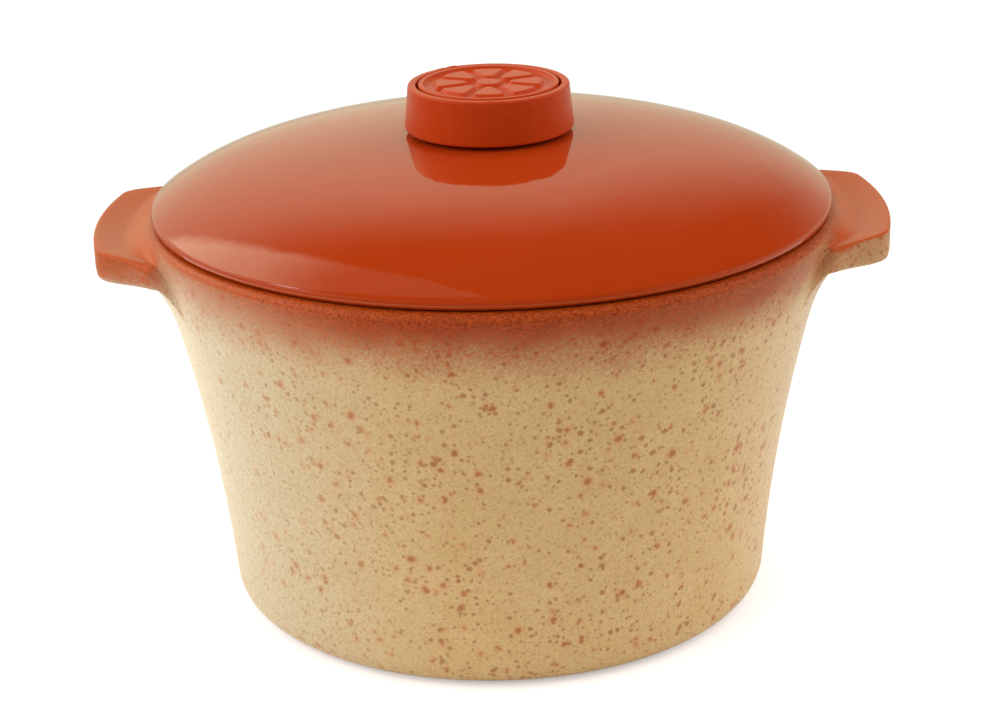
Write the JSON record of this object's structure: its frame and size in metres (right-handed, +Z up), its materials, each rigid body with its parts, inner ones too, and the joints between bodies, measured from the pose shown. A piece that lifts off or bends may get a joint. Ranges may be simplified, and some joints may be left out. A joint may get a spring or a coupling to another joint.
{
  "type": "saucepan",
  "caption": "Round flared ceramic saucepan with a side lug handle at each end, a domed enamelled lid that lifts off and a flat round knob.",
  "frame": {"origin": "centre of the foot ring, on the table", "axes": "+X towards one lug handle, +Y away from the viewer of the picture, +Z up"},
  "size_m": [0.281, 0.2452, 0.1869],
  "materials": {
    "speckled_glaze": "satin",
    "terracotta_enamel": "gloss",
    "terracotta_bakelite": "satin",
    "zinc_plated_steel": "satin",
    "vulcanised_fibre": "matte"
  },
  "bodies": {
    "pot": {"pot": "speckled_glaze"},
    "lid": {"lid_shell": "terracotta_enamel", "lid_locating_ring": "terracotta_enamel", "knob_body": "terracotta_bakelite", "knob_cap": "terracotta_bakelite", "knob_screw": "zinc_plated_steel", "screw_washer": "zinc_plated_steel", "knob_gasket": "vulcanised_fibre", "lid_gasket": "vulcanised_fibre", "nut_washer": "zinc_plated_steel", "knob_nut": "zinc_plated_steel"}
  },
  "joints": [
    {"name": "lid_lift", "type": "slide", "parent": "pot", "child": "lid", "axis": [0, 0, 1], "range_m": [0, 0.15]}
  ]
}
